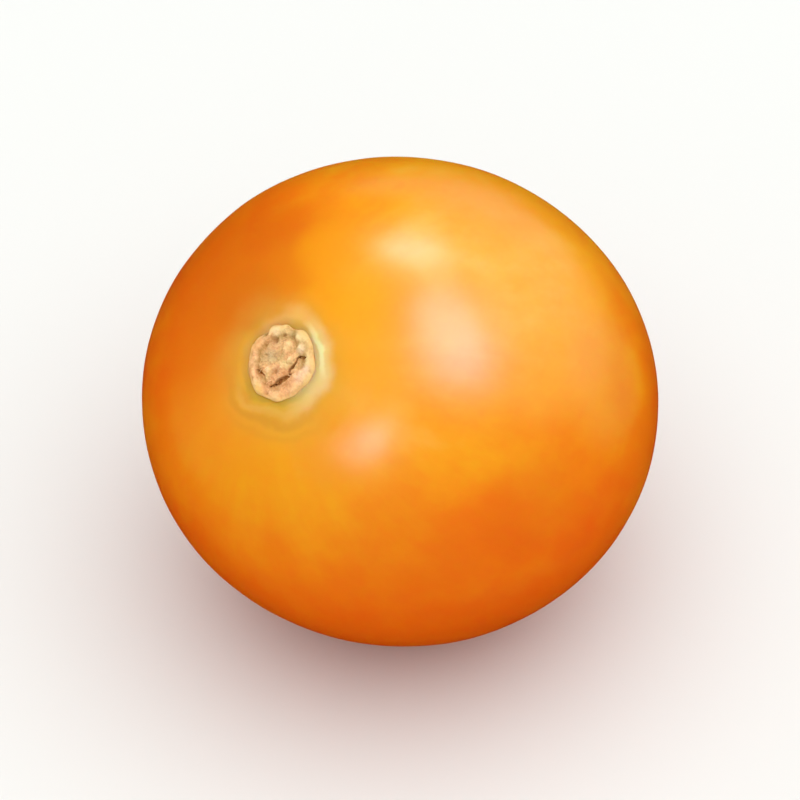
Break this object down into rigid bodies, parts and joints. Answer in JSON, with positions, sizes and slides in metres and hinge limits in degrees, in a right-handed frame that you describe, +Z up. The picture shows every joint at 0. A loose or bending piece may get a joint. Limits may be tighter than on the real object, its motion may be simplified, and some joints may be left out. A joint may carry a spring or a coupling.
{
  "type": "physalis berry",
  "caption": "Ripe orange physalis berry out of its husk, lying on its side with the corky stem scar turned up: one whole fruit for bowls, plates and garnishes.",
  "frame": {"origin": "on the surface that the berry lies on, below the middle of the berry: the bottom centre of its box, on the flat that its weight presses into the skin", "axes": "+Z up; the berry's own stem axis lies in the YZ plane and leans 41.4 degrees from +Z towards -Y, so the stem scar looks up and towards -Y; +X is across the berry"},
  "size_m": [0.024, 0.0242, 0.0242],
  "materials": {
    "berry_skin": "smooth, softly glossy, slightly translucent ripe fruit skin, orange to amber",
    "stem_scar_cork": "dry, rough, pale tan cork with brown pits"
  },
  "bodies": {
    "root": {"berry": "berry_skin"}
  },
  "joints": []
}
